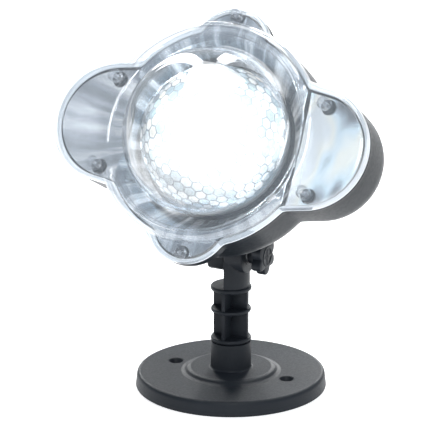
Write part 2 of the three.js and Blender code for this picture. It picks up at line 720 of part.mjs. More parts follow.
// ---- driver electronics and cable entry ----------------------------------------------------------------
function driverBoard() {
  const { x, y, width, height, z, t } = BOARD;
  return BOARD_POSTS.reduce(
    (board, postY) => board.subtract(rod(1.5, z - 1, z + t + 1, BOSS_SIDES, x, postY)),
    box(x - width / 2, x + width / 2, y - height / 2, y + height / 2, z, z + t),
  );
}

const PARTS_Z = BOARD.z + BOARD.t + GAP;
const transformer = () => box(BOARD.x + 1, BOARD.x + 15, -8, 8, PARTS_Z, PARTS_Z + 12);
const capacitor = () => rod(5, PARTS_Z, PARTS_Z + 14, 20, BOARD.x - 9, 0);

function cableGland() {
  const { x, y, boreR, threadR, hexR } = GLAND;
  const hex = solid(extruded(regularShape(6, hexR), 4, BACK_Z - GAP - 4).translate(x, y, 0));
  const capProfile = [
    [0, BACK_Z - 12],
    [5, BACK_Z - 12],
    [7.2, BACK_Z - 9],
    [7.2, BACK_Z - 4],
    [0, BACK_Z - 4],
  ];
  const cap = turned(capProfile, 20, x, y);
  const thread = rod(threadR, BACK_Z - 1, BACK_Z + 8, 20, x, y);
  return union(hex, cap, thread).subtract(rod(boreR, BACK_Z - 13, BACK_Z + 9, 16, x, y));
}

const glandNut = () => {
  const z = BACK_Z + HOUSING_WALL + GAP;
  const hex = solid(extruded(regularShape(6, GLAND.hexR), 3.5, z).translate(GLAND.x, GLAND.y, 0));
  return hex.subtract(rod(GLAND.holeR, z - 1, z + 5, 20, GLAND.x, GLAND.y));
};

// ---- assembly -----------------------------------------------------------------------------------------
const lamp = new THREE.Group();
const head = new THREE.Group();
head.position.z = PIVOT_Z;
head.rotation.x = THREE.MathUtils.degToRad(-REST_TILT);
const optics = new THREE.Group();
optics.position.z = AXIS_ABOVE_PIVOT;
optics.rotation.x = Math.PI / 2;
head.add(optics);
lamp.add(head);

function place(group, name, body, material) {
  const mesh = new THREE.Mesh(geometryOf(body), MATERIALS[material]);
  mesh.name = name;
  group.add(mesh);
  return mesh;
}

// A body drawn along Z and laid along X through the pivot.
function placeOnPivot(group, name, body, material, pivot) {
  const mesh = place(group, name, body, material);
  mesh.rotation.y = Math.PI / 2;
  mesh.position.copy(pivot);
}

const pivotInLamp = new THREE.Vector3(0, 0, PIVOT_Z);
const pivotInOptics = new THREE.Vector3(0, -AXIS_ABOVE_PIVOT, 0);

place(lamp, "base_disc", baseDisc(), "black");
place(lamp, "post", post(), "black");
placeOnPivot(lamp, "star_knob", starKnob(), "black", pivotInLamp);
placeOnPivot(lamp, "knob_nut", knobNut(), "brass", pivotInLamp);
placeOnPivot(lamp, "clamp_washer", clampWasher(), "steel", pivotInLamp);
placeOnPivot(optics, "hinge_bolt", hingeBolt(), "steel", pivotInOptics);

place(optics, "rear_housing", rearHousing(), "black");
place(optics, "cover_gasket", coverGasket(), "seal");
place(optics, "front_cover", frontCover(), "clear");
PILLARS.forEach(([x, y], i) => place(optics, `cover_screw_${i + 1}`, coverScrew(x, y), "steel"));
place(optics, "reflector_bowl", reflectorBowl(), "mirror");
place(optics, "right_wing_mirror", wingMirror(1), "mirror");
place(optics, "left_wing_mirror", wingMirror(-1), "mirror");

place(optics, "heat_sink", heatSink(), "aluminium");
place(optics, "bearing_bush", bearingBush(), "white");
place(optics, "led_plate", ledPlate(), "aluminium");
place(optics, "led_board", ledBoard(), "board");
place(optics, "led_emitter", ledEmitter(), "led");
place(optics, "lens_ring", lensRing(), "white");
place(optics, "led_lens", ledLens(), "clear");

place(optics, "crystal_dome", crystalDome(), "clear");
place(optics, "dome_carrier", domeCarrier(), "white");
place(optics, "drive_pinion", drivePinion(), "white");
place(optics, "motor_shaft", motorShaft(), "steel");
place(optics, "gear_motor", gearMotor(), "steel");
place(optics, "motor_bracket", motorBracket(), "steel");
MOTOR_SCREW_SIDES.forEach((x, i) =>
  place(optics, `motor_screw_${i + 1}`, smallScrew(x, MOTOR_Y, MOTOR_FOOT + GAP + 1.2, 6), "steel"),
);

place(optics, "driver_board", driverBoard(), "board");
place(optics, "driver_transformer", transformer(), "black");
place(optics, "driver_capacitor", capacitor(), "black");
place(optics, "cable_gland", cableGland(), "black");
place(optics, "gland_nut", glandNut(), "black");

export default lamp;
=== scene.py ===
import json
import math
import random

import bmesh
import bpy
from mathutils import Euler, Matrix, Vector


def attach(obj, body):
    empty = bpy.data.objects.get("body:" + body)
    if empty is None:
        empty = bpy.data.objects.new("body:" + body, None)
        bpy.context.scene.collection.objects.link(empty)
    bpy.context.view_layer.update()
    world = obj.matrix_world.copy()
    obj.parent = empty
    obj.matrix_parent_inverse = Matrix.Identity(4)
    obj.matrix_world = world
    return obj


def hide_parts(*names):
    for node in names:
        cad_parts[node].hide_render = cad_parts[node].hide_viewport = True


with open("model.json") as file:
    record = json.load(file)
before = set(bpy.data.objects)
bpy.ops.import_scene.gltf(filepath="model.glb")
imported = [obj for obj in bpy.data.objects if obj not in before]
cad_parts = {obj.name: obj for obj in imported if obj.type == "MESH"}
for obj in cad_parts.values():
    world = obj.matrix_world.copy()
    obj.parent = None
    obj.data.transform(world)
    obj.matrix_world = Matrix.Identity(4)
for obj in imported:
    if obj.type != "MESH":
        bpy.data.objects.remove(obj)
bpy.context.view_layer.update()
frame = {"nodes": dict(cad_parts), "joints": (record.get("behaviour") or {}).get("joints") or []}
random.seed(7)

# ---- the frame ------------------------------------------------------------------------------------
MM = 0.001
JOINTS = {joint["name"]: joint for joint in frame["joints"]}
PIVOT = Vector(JOINTS["head_tilt"]["pos_m"])
FORWARD = Vector(JOINTS["dome_spin"]["axis"]).normalized()
SIDE = Vector((1, 0, 0))
UP = FORWARD.cross(SIDE)
AXIS_ABOVE_PIVOT = (Vector(JOINTS["dome_spin"]["pos_m"]) - PIVOT).dot(UP)


def optics_matrix():
    """Millimetres along the lamp's side, up and forward axes to the frame's metres."""
    turn = Matrix((SIDE, UP, FORWARD)).transposed().to_4x4()
    return Matrix.Translation(PIVOT + UP * AXIS_ABOVE_PIVOT) @ turn @ Matrix.Scale(MM, 4)


OPTICS = optics_matrix()
UPRIGHT = Matrix.Scale(MM, 4)  # millimetres in the frame's own directions

# ---- sizes in millimetres -------------------------------------------------------------------------
FLANGE_Z = 68
RIM_Z = 69.8
BACK_Z = 18
DRUM_R = 70.8
EAR_OFFSET, EAR_R = 55, 27
LOBE_OFFSET, LOBE_R = 66.4, 38.6
LOBE_FLARE = math.radians(81)
JUNCTION_BLEND = 0.7
DOME_R, DOME_CENTRE_Z = 53.6, 72
VALLEY_Z = 79
BEAD_R, BEAD_HALF_WIDTH = 66.2, 4.2
WING_FACE_Z, EAR_FACE_Z = 78, 76
PILLARS = [(70.8, 28.3), (70.8, -28.3), (-70.8, 28.3), (-70.8, -28.3), (0, 75.8), (0, -75.8)]
CRYSTAL_R, CRYSTAL_CENTRE_Z = 46, 62
DECK_TOP_Z = 60
WING_INNER_X = 57.5
LINER_Z = 69
BOWL_INNER_R, BOWL_OUTER_R, BOWL_INNER_Z = 49.5, 61, 54
LINER_INSET, LINER_T, PILLAR_HOLE_R = 4.4, 1.2, 4.9
SIDE_DEPTH, DRAFT, BACK_ROUND, WALL, EAR_DEPTH = 24, 1.3, 24, 2.5, 6
SCREW_HOLE_X, COLLAR_R, WEB_R, WEB_HALF_T = 38.5, 12.7, 11.6, 1.15
# how far beside the lamp's axis, in millimetres, the glow painted on the crystal is centred
GLARE_ASIDE = 9


# ---- mesh helpers ---------------------------------------------------------------------------------
def add_piece(name, vertices, faces, body, slot, material, place=OPTICS, smooth=True):
    mesh = bpy.data.meshes.new(name)
    mesh.from_pydata([place @ Vector(v) for v in vertices], [], faces)
    piece = bpy.data.objects.new(name, mesh)
    bpy.context.scene.collection.objects.link(piece)
    return dress(piece, body, material, smooth)


def dress(piece, body, material, smooth=True):
    mesh = piece.data
    work = bmesh.new()
    work.from_mesh(mesh)
    bmesh.ops.remove_doubles(work, verts=work.verts, dist=1e-6)
    bmesh.ops.recalc_face_normals(work, faces=work.faces)
    work.to_mesh(mesh)
    work.free()
    mesh.materials.clear()
    mesh.materials.append(material)
    mesh.polygons.foreach_set("use_smooth", [smooth] * len(mesh.polygons))
    if smooth:
        mesh.set_sharp_from_angle(angle=math.radians(38))
    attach(piece, body)
    return piece


def polar(profile_at, segments):
    """A shell round the axis. Its [radius, z] profile may change with the angle, and closes on itself."""
    rings = [profile_at(2 * math.pi * i / segments) for i in range(segments)]
    count = len(rings[0])
    vertices = [
        (r * math.cos(2 * math.pi * i / segments), r * math.sin(2 * math.pi * i / segments), z)
        for i, ring in enumerate(rings)
        for r, z in ring
    ]
    faces = []
    for i in range(segments):
        for j in range(count):
            a, b = i * count, (i + 1) % segments * count
            k = (j + 1) % count
            faces.append([a + j, b + j, b + k, a + k])
    return vertices, faces


def merged(*shells):
    vertices, faces = [], []
    for more, sides in shells:
        start = len(vertices)
        vertices += more
        faces += [[start + v for v in side] for side in sides]
    return vertices, faces


def moved(shell, x=0, y=0, z=0):
    vertices, faces = shell
    return [(a + x, b + y, c + z) for a, b, c in vertices], faces


def turned(profile, segments, x=0, y=0):
    return moved(polar(lambda angle: profile, segments), x, y)


def along_x(shell, z=0):
    """A shell drawn along Z, laid along X through the height z."""
    vertices, faces = shell
    return [(c, b, z - a) for a, b, c in vertices], faces


def rounded(profile, radius, steps=3):
    """The profile with each corner between straight stretches rounded off."""
    out = []
    count = len(profile)
    for i, corner in enumerate(profile):
        here = Vector(corner)
        before, after = Vector(profile[i - 1]), Vector(profile[(i + 1) % count])
        into, away = here - before, after - here
        if here.x < 1e-6 or into.length < 1e-6 or away.length < 1e-6:
            out.append(tuple(corner))
            continue
        cut = min(radius, into.length * 0.45, away.length * 0.45)
        start, end = here - into.normalized() * cut, here + away.normalized() * cut
        for k in range(steps + 1):
            t = k / steps
            out.append(tuple(start * (1 - t) ** 2 + here * 2 * t * (1 - t) + end * t * t))
    return out


def prism(outline, z0, z1, bevel=0.4):
    """A plate with rounded edges from an outline of (x, y) points that is seen whole from its middle."""
    count = len(outline)
    centre = Vector([sum(c) / count for c in zip(*outline)])
    levels = [(z0, bevel), (z0 + bevel * 0.3, bevel * 0.3), (z0 + bevel, 0)]
    levels += [(z1 - bevel, 0), (z1 - bevel * 0.3, bevel * 0.3), (z1, bevel)]
    vertices = []
    for z, inset in levels:
        for point in outline:
            ray = Vector(point) - centre
            spot = centre + ray * (1 - inset / ray.length)
            vertices.append((spot.x, spot.y, z))
    faces = [list(range(count))[::-1], list(range(5 * count, 6 * count))]
    for level in range(5):
        for i in range(count):
            k = (i + 1) % count
            low, high = level * count, (level + 1) * count
            faces.append([low + i, low + k, high + k, high + i])
    return vertices, faces


def arc(centre_x, centre_y, r, start, end, steps):
    return [
        (centre_x + r * math.cos(a), centre_y + r * math.sin(a))
        for a in (math.radians(start + (end - start) * i / steps) for i in range(steps + 1))
    ]


def carve(piece, cutters):
    """Cuts the closed shells in cutters out of the piece."""
    for vertices, faces, place in cutters:
        mesh = bpy.data.meshes.new("cutter")
        mesh.from_pydata([place @ Vector(v) for v in vertices], [], faces)
        work = bmesh.new()
        work.from_mesh(mesh)
        bmesh.ops.remove_doubles(work, verts=work.verts, dist=1e-6)
        bmesh.ops.recalc_face_normals(work, faces=work.faces)
        work.to_mesh(mesh)
        work.free()
        tool = bpy.data.objects.new("cutter", mesh)
        bpy.context.scene.collection.objects.link(tool)
        cut = piece.modifiers.new("cut", "BOOLEAN")
        cut.object = tool
        cut.solver = "EXACT"
        graph = bpy.context.evaluated_depsgraph_get()
        result = bpy.data.meshes.new_from_object(piece.evaluated_get(graph))
        piece.modifiers.clear()
        old, piece.data = piece.data, result
        bpy.data.meshes.remove(old)
        bpy.data.objects.remove(tool)
    piece.data.set_sharp_from_angle(angle=math.radians(30))


# ---- the head's outline ---------------------------------------------------------------------------
def ray_to_circle(along, across, offset, radius):
    miss = offset * across
    return offset * along + math.sqrt(radius * radius - miss * miss) if miss < radius else 0


def wing_radius(along, across, inset):
    angle = math.atan2(across, along)
    straight = LOBE_OFFSET * math.cos(LOBE_FLARE) + LOBE_R - inset
    tangent_x = LOBE_OFFSET + (LOBE_R - inset) * math.cos(LOBE_FLARE)
    tangent_y = (LOBE_R - inset) * math.sin(LOBE_FLARE)
    if angle > math.atan2(tangent_y, tangent_x):
        return straight / math.cos(angle - LOBE_FLARE)
    return ray_to_circle(along, across, LOBE_OFFSET, LOBE_R - inset)


def outline_radius(angle, inset=0, ears=True):
    """A drum with an ear above and below and a wing on each side, drawn in by inset."""
    along, across = abs(math.cos(angle)), abs(math.sin(angle))
    reaches = [DRUM_R - inset, wing_radius(along, across, inset)]
    if ears:
        reaches.append(ray_to_circle(across, along, EAR_OFFSET, EAR_R - inset))
    most = max(reaches)
    return most + JUNCTION_BLEND * math.log(sum(math.exp((r - most) / JUNCTION_BLEND) for r in reaches))


def smooth_step(value, low, high):
    t = min(max((value - low) / (high - low), 0), 1)
    return t * t * (3 - 2 * t)


def wing_share(angle):
    """1 over a wing and 0 over the drum and ears."""
    from_side = math.atan2(abs(math.sin(angle)), abs(math.cos(angle)))
    return 1 - smooth_step(from_side, math.radians(30), math.radians(37))


# ---- material helpers -----------------------------------------------------------------------------
class Nodes:
    """A material's node tree, with short ways to make nodes and join them."""

    def __init__(self, name):
        self.material = bpy.data.materials.new(name)
        self.material.use_nodes = True
        self.tree = self.material.node_tree
        self.shader = self.tree.nodes["Principled BSDF"]
        self.output = self.tree.nodes["Material Output"]
        self.place = self.add("ShaderNodeTexCoord").outputs["Object"]

    def add(self, kind, **settings):
        node = self.tree.nodes.new(kind)
        for key, value in settings.items():
            setattr(node, key, value)
        return node

    def join(self, source, target):
        self.tree.links.new(source, target)

    def set(self, **values):
        for key, value in values.items():
            self.shader.inputs[key.replace("_", " ")].default_value = value

    def noise(self, scale, detail=3.0, vector=None):
        node = self.add("ShaderNodeTexNoise")
        node.inputs["Scale"].default_value = scale
        node.inputs["Detail"].default_value = detail
        self.join(vector or self.place, node.inputs["Vector"])
        return node.outputs["Fac"]

    def ramp(self, value, stops):
        node = self.add("ShaderNodeValToRGB")
        while len(node.color_ramp.elements) < len(stops):
            node.color_ramp.elements.new(1)
        for element, (position, colour) in zip(node.color_ramp.elements, stops):
            element.position = position
            element.color = (*colour, 1) if isinstance(colour, tuple) else (colour, colour, colour, 1)
        self.join(value, node.inputs["Fac"])
        return node.outputs["Color"]

    def math(self, operation, *values):
        node = self.add("ShaderNodeMath", operation=operation)
        for i, value in enumerate(values):
            if isinstance(value, (int, float)):
                node.inputs[i].default_value = value
            else:
                self.join(value, node.inputs[i])
        return node.outputs[0]

    def bump(self, height, strength, distance):
        node = self.add("ShaderNodeBump")
        node.inputs["Strength"].default_value = strength
        node.inputs["Distance"].default_value = distance
        self.join(height, node.inputs["Height"])
        return node.outputs["Normal"]

    def from_axis(self, aside=0.0):
        """Tenths of a metre from the lamp's axis or a line beside it, and the angle round the axis."""
        split = self.add("ShaderNodeSeparateXYZ")
        self.join(self.in_optics(), split.inputs[0])
        x, y = split.outputs["X"], split.outputs["Y"]
        across = self.math("SUBTRACT", x, aside) if aside else x
        squares = self.math("ADD", self.math("MULTIPLY", across, across), self.math("MULTIPLY", y, y))
        return self.math("MULTIPLY", self.math("SQRT", squares), 10.0), self.math("ARCTAN2", y, x)

    def mirror_share(self, gain, most, normal=None):
        """How much a thin clear wall mirrors, the same from either side, which a Fresnel node isn't."""
        facing = self.add("ShaderNodeLayerWeight")
        facing.inputs["Blend"].default_value = 0.5
        if normal:
            self.join(normal, facing.inputs["Normal"])
        grazing = self.math("MULTIPLY", self.math("POWER", facing.outputs["Facing"], 5.0), 0.96)
        return self.math("MINIMUM", self.math("MULTIPLY", self.math("ADD", grazing, 0.04), gain), most)

    def in_optics(self):
        """The point in the lamp's own directions, in metres, as separate x, y and z."""
        shift = self.add("ShaderNodeVectorMath", operation="SUBTRACT")
        shift.inputs[1].default_value = OPTICS.translation
        self.join(self.place, shift.inputs[0])
        turned_back = self.add("ShaderNodeVectorRotate", rotation_type="EULER_XYZ", invert=True)
        turned_back.inputs["Rotation"].default_value = OPTICS.to_euler()
        self.join(shift.outputs[0], turned_back.inputs["Vector"])
        return turned_back.outputs["Vector"]


def plastic(name, colour, roughness, grain, grain_height, shine=0.3):
    m = Nodes(name)
    cloud = m.noise(18, 2)
    speck = m.noise(grain, 4)
    tone = m.ramp(cloud, [(0.3, tuple(c * 0.85 for c in colour)), (0.7, tuple(c * 1.2 for c in colour))])
    m.join(tone, m.shader.inputs["Base Color"])
    gloss = m.ramp(speck, [(0.3, roughness - 0.05), (0.7, roughness + 0.07)])
    m.join(gloss, m.shader.inputs["Roughness"])
    m.join(m.bump(speck, 0.35, grain_height), m.shader.inputs["Normal"])
    m.set(Specular_IOR_Level=shine)
    return m.material


def metal(name, colour, roughness, scratch=(40, 900, 900)):
    m = Nodes(name)
    stretch = m.add("ShaderNodeMapping")
    stretch.inputs["Scale"].default_value = scratch
    m.join(m.place, stretch.inputs["Vector"])
    lines = m.noise(1.0, 2, stretch.outputs["Vector"])
    m.join(m.ramp(lines, [(0.3, roughness - 0.06), (0.7, roughness + 0.1)]), m.shader.inputs["Roughness"])
    tone = m.ramp(m.noise(60), [(0.3, tuple(c * 0.9 for c in colour)), (0.7, colour)])
    m.join(tone, m.shader.inputs["Base Color"])
    m.set(Metallic=1.0)
    m.join(m.bump(lines, 0.1, 0.00005), m.shader.inputs["Normal"])
    return m.material


def clear_plastic(name, tint, gloss_gain, haze=0.0):
    """Thin clear plastic: what is behind shows through, and the surface mirrors more at grazing angles."""
    m = Nodes(name)
    m.tree.nodes.remove(m.shader)
    ripple = m.noise(35, 2)
    normal = m.bump(ripple, 0.12, 0.0004)
    through = m.add("ShaderNodeBsdfTransparent")
    through.inputs["Color"].default_value = (*tint, 1)
    gloss = m.add("ShaderNodeBsdfGlossy")
    gloss.inputs["Roughness"].default_value = 0.03
    m.join(normal, gloss.inputs["Normal"])
    mix = m.add("ShaderNodeMixShader")
    m.join(m.mirror_share(gloss_gain, 0.9, normal), mix.inputs[0])
    m.join(through.outputs[0], mix.inputs[1])
    m.join(gloss.outputs[0], mix.inputs[2])
    surface = mix.outputs[0]
    if haze:
        milk = m.add("ShaderNodeBsdfTranslucent")
        milk.inputs["Color"].default_value = (0.9, 0.94, 1.0, 1)
        soft = m.add("ShaderNodeMixShader")
        reach, _ = m.from_axis()
        m.join(m.ramp(reach, [(0.46, haze * 0.1), (0.60, haze)]), soft.inputs[0])
        m.join(surface, soft.inputs[1])
        m.join(milk.outputs[0], soft.inputs[2])
        surface = soft.outputs[0]
    m.join(surface, m.output.inputs["Surface"])
    return m.material


def crystal_plastic():
    """Clear facets with the lamp's light painted on them as emission: a core centred beside the axis, and
    each facet lit by its own tone, most towards the front.
    """
    m = Nodes("clear_crystal_plastic")
    m.tree.nodes.remove(m.shader)
    tone = m.add("ShaderNodeAttribute", attribute_name="facet_glow_tone").outputs["Fac"]
    reach, _ = m.from_axis(GLARE_ASIDE * MM)
    uneven = m.ramp(m.noise(55, 3), [(0.3, 0.0), (0.7, 1.0)])
    edge = m.math("ADD", reach, m.math("MULTIPLY", m.math("SUBTRACT", uneven, 0.5), 0.10))
    # painted glow: a bright core round a point beside the axis, fading outwards with an uneven edge
    core = m.ramp(edge, [(0.24, 1.0), (0.43, 0.0)])
    front = m.ramp(edge, [(0.30, 0.62), (0.47, 0.26)])
    grey, cyan, white, cream = (0.40, 0.46, 0.50), (0.62, 0.92, 1.0), (1, 1, 1), (1.0, 0.93, 0.80)
    tint = m.ramp(tone, [(0.0, grey), (0.35, cyan), (0.6, white), (0.85, cream)])
    glow = m.add("ShaderNodeEmission")
    m.join(tint, glow.inputs["Color"])
    bright = m.ramp(tone, [(0.12, 0.0), (0.3, 0.25), (0.55, 0.7), (1.0, 1.0)])
    facets = m.math("MULTIPLY", bright, front)
    power = m.math("ADD", m.math("MULTIPLY", core, 1.5), facets)
    m.join(power, glow.inputs["Strength"])
    through = m.add("ShaderNodeBsdfTransparent")
    # painted shade: the bevels (tone 0) let less through, so the facets' edges look dark
    m.join(m.ramp(tone, [(0.0, (0.50, 0.54, 0.58)), (0.04, (0.86, 0.92, 0.96))]), through.inputs["Color"])
    gloss = m.add("ShaderNodeBsdfGlossy")
    gloss.inputs["Roughness"].default_value = 0.05
    milk = m.add("ShaderNodeBsdfTranslucent")
    milk.inputs["Color"].default_value = (0.9, 0.95, 1.0, 1)
    shine = m.add("ShaderNodeMixShader")
    m.join(m.mirror_share(3.0, 0.9), shine.inputs[0])
    m.join(through.outputs[0], shine.inputs[1])
    m.join(gloss.outputs[0], shine.inputs[2])
    soft = m.add("ShaderNodeMixShader")
    soft.inputs[0].default_value = 0.03
    m.join(shine.outputs[0], soft.inputs[1])
    m.join(milk.outputs[0], soft.inputs[2])
    both = m.add("ShaderNodeAddShader")
    m.join(soft.outputs[0], both.inputs[0])
    m.join(glow.outputs[0], both.inputs[1])
    m.join(both.outputs[0], m.output.inputs["Surface"])
    return m.material


def lit_from_axis(name, inner, outer, power, streak_turns):
    """Plastic or a lens with the lamp's light painted on as emission: washed out close to the axis, in
    rays that thin out further off.
    """
    m = Nodes(name)
    reach, angle = m.from_axis()
    around = m.add("ShaderNodeCombineXYZ")
    m.join(m.math("MULTIPLY", m.math("COSINE", angle), streak_turns), around.inputs[0])
    m.join(m.math("MULTIPLY", m.math("SINE", angle), streak_turns), around.inputs[1])
    rays = m.ramp(m.noise(1.0, 4, around.outputs[0]), [(0.36, 0.0), (0.66, 1.0)])
    wash = m.ramp(reach, [(inner, 1.0), (outer, 0.0)])
    washed = m.math("ADD", m.math("MULTIPLY", wash, wash), m.math("MULTIPLY", wash, rays))
    light = m.math("MULTIPLY", washed, power)
    m.join(m.ramp(m.noise(60), [(0.3, 0.13), (0.7, 0.20)]), m.shader.inputs["Base Color"])
    m.join(light, m.shader.inputs["Emission Strength"])
    m.shader.inputs["Emission Color"].default_value = (1, 1, 1, 1)
    m.set(Roughness=0.4)
    return m.material


def wing_mirror():
    """Slightly hazy mirror with painted reflections of the room in soft patches of cream, pale blue and
    dark, in its colour and as weak emission.
    """
    m = Nodes("metallised_wing")
    spot = m.in_optics()
    stretch = m.add("ShaderNodeMapping")
    stretch.inputs["Scale"].default_value = (46, 26, 10)
    stretch.inputs["Location"].default_value = (0.35, 0.2, 0)
    m.join(spot, stretch.inputs["Vector"])
    painted_reflection_patch = m.noise(1.0, 1.5, stretch.outputs["Vector"])
    dark, blue, cream, pale = (0.20, 0.21, 0.23), (0.76, 0.88, 0.96), (1.0, 0.98, 0.90), (0.86, 0.88, 0.90)
    tones = [(0.34, dark), (0.42, blue), (0.52, cream), (0.62, pale)]
    colour = m.ramp(painted_reflection_patch, tones)
    m.join(colour, m.shader.inputs["Base Color"])
    m.join(colour, m.shader.inputs["Emission Color"])
    # the painted reflection also glows a little, as emission
    m.set(Emission_Strength=0.32)
    m.join(m.ramp(m.noise(30), [(0.3, 0.16), (0.7, 0.30)]), m.shader.inputs["Roughness"])
    m.join(m.bump(m.noise(22, 2), 0.25, 0.001), m.shader.inputs["Normal"])
    m.set(Metallic=1.0)
    return m.material


def metallised(name, streak_turns, glow, tones):
    """Vacuum-metallised plastic with radial streaks, whose tones are painted reflections, and the lamp's
    light painted on it as emission towards the axis.
    """
    m = Nodes(name)
    reach, angle = m.from_axis()
    around = m.add("ShaderNodeCombineXYZ")
    m.join(m.math("MULTIPLY", m.math("COSINE", angle), streak_turns), around.inputs[0])
    m.join(m.math("MULTIPLY", m.math("SINE", angle), streak_turns), around.inputs[1])
    m.join(m.math("MULTIPLY", reach, 1.2), around.inputs[2])
    streaks = m.noise(1.0, 5, around.outputs[0])
    # painted reflection: the streaks' tones stand in for blurred radial reflections; their bump and
    # roughness are real
    m.join(m.ramp(streaks, tones), m.shader.inputs["Base Color"])
    m.join(m.ramp(streaks, [(0.3, 0.1), (0.7, 0.26)]), m.shader.inputs["Roughness"])
    m.join(m.bump(streaks, 0.5, 0.0012), m.shader.inputs["Normal"])
    m.set(Metallic=1.0)
    if glow:
        # painted light: emission in the streaks, strongest near the axis
        near = m.ramp(reach, [(0.45, 1.0), (0.95, 0.0)])
        rays = m.ramp(streaks, [(0.48, 0.0), (0.72, 1.0)])
        light = m.math("MULTIPLY", m.math("MULTIPLY", near, rays), glow)
        m.shader.inputs["Emission Color"].default_value = (1, 1, 1, 1)
        m.join(light, m.shader.inputs["Emission Strength"])
    return m.material


def lit(name, colour, strength):
    m = Nodes(name)
    m.shader.inputs["Emission Color"].default_value = (*colour, 1)
    glow = m.math("MULTIPLY", m.ramp(m.noise(150), [(0.3, 0.85), (0.7, 1.0)]), strength)
    m.join(glow, m.shader.inputs["Emission Strength"])
    m.set(Roughness=0.3)
    return m.material


BLACK = plastic("black_moulded_plastic", (0.012, 0.015, 0.020), 0.44, 900, 0.00012, 0.2)
GLOSS_BLACK = plastic("gloss_black_plastic", (0.012, 0.015, 0.019), 0.34, 500, 0.00004, 0.12)
COVER = clear_plastic("clear_cover_plastic", (0.975, 0.985, 0.995), 2.6, 0.08)
CRYSTAL = crystal_plastic()
SKIRT = clear_plastic("clear_skirt_plastic", (0.90, 0.94, 0.97), 2.2, 0.08)
SEAL = plastic("white_silicone", (0.80, 0.83, 0.86), 0.35, 700, 0.00003)
# tones of the painted reflections in the streaks on the bowl and the left wing
BOWL_TONES = [(0.38, (0.42, 0.45, 0.49)), (0.66, (0.84, 0.89, 0.94))]
LEFT_WING_TONES = [(0.35, (0.5, 0.51, 0.54)), (0.65, (0.95, 0.96, 0.98))]
BOWL = metallised("metallised_bowl", 9.0, 0.55, BOWL_TONES)
WING = wing_mirror()
LEFT_WING = metallised("metallised_left_wing", 7.0, 1.2, LEFT_WING_TONES)
# painted light: the lamp's glow and rays are painted as emission on the carrier and on the lens
LIT_WHITE = lit_from_axis("lit_white_plastic", 0.20, 0.46, 0.6, 7.0)
STEEL = metal("zinc_plated_steel", (0.55, 0.56, 0.58), 0.32)
BRASS = metal("turned_brass", (0.72, 0.55, 0.26), 0.28)
ALUMINIUM = metal("satin_aluminium", (0.75, 0.76, 0.78), 0.38)
WHITE = plastic("white_moulded_plastic", (0.72, 0.72, 0.70), 0.45, 800, 0.00005)
BOARD = plastic("circuit_board", (0.70, 0.73, 0.68), 0.40, 600, 0.00004)
DARK = plastic("dark_component", (0.05, 0.05, 0.055), 0.38, 700, 0.00005)
GLOW = lit("lit_phosphor", (1.0, 0.98, 0.92), 14.0)
LENS = lit_from_axis("lit_lens", 0.10, 0.34, 1.4, 5.0)


# ---- base -----------------------------------------------------------------------------------------
def make_base():
    profile = [
        (15.7, 0), (COLLAR_R, 0), (0.001, 0), (0.001, 6), (11.3, 6), (11.3, 29.5), (COLLAR_R, 29.5),
        (COLLAR_R, 12.6),
        (13.6, 12), (25.4, 12), (27.4, 11.4), (29, 10.3), (31.5, 9.5), (57.3, 9.5), (58.7, 8.9),
        (59.3, 7.5),
        (60, 0.5), (59.6, 0), (57, 0), (56, 6.5), (15.7, 6.5),
    ]
    ribs = []
    for i in range(6):
        turn = Matrix.Rotation(math.pi * (2 * i + 1) / 6, 4, "Z")
        vertices, faces = prism([(15, -0.9), (57, -0.9), (57, 0.9), (15, 0.9)], 0, 7, 0.1)
        ribs.append(([tuple(turn @ Vector(v)) for v in vertices], faces))
    cup = [(2.3, 0.02), (7, 0.02), (7, 6.6), (4.9, 6.6), (4.9, 9.3), (4.5, 9.3), (2.3, 6.2)]
    cups = [turned(cup, 48, x) for x in (-SCREW_HOLE_X, SCREW_HOLE_X)]
    shell = polar(lambda angle: rounded(profile, 0.5), 160)
    base = add_piece("base_shell", *shell, "base", "black_plastic", BLACK, UPRIGHT)
    opening = [(0.001, 3), (4.9, 3), (4.9, 11), (0.001, 11)]
    carve(base, [(*turned(opening, 48, x), UPRIGHT) for x in (-SCREW_HOLE_X, SCREW_HOLE_X)])
    under = merged(*ribs, *cups)
    rib_piece = add_piece("base_ribs", *under, "base", "black_plastic", BLACK, UPRIGHT)
    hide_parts("base_disc")
    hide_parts("base_disc")


# ---- post -----------------------------------------------------------------------------------------
def rounded_ring(r, z0, z1, round_by):
    return turned(rounded([(0.001, z0), (r, z0), (r, z1), (0.001, z1)], round_by, 4), 96)


def make_post():
    rings = [
        rounded_ring(12.7, 29.9, 32.6, 1.0),
        rounded_ring(12.6, 49.4, 51.8, 1.1),
        rounded_ring(12.9, 63.4, 66.4, 1.4),
    ]
    webs = [
        prism([(-a, -b), (a, -b), (a, b), (-a, b)], 31, 65, 0.25)
        for a, b in ((WEB_HALF_T, WEB_R), (WEB_R, WEB_HALF_T))
    ]
    plug = turned([(0.001, 6.3), (11, 6.3), (11, 31), (0.001, 31)], 64)
    pivot_z = PIVOT.z / MM
    half = [(0.3, -11.8), *arc(0, 0, 11.9, -88, 88, 24), (0.3, 11.8)]
    arm = prism(half, 65, pivot_z, 0.3)
    eye_profile = rounded([(0.001, 0.3), (12.4, 0.3), (12.4, 12.6), (0.001, 12.6)], 0.9)
    boss_profile = rounded([(0.001, 12), (7.2, 12), (7.2, 12.9), (0.001, 12.9)], 0.3)
    eye = along_x(turned(eye_profile, 72), pivot_z)
    boss = along_x(turned(boss_profile, 48), pivot_z)
    whole = merged(plug, *rings, *webs, arm, eye, boss)
    post = add_piece("post_shell", *whole, "post", "black_plastic", BLACK, UPRIGHT)
    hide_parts("post")


def arc_angles(start, end, steps):
    return [math.radians(start + (end - start) * i / steps) for i in range(steps + 1)]


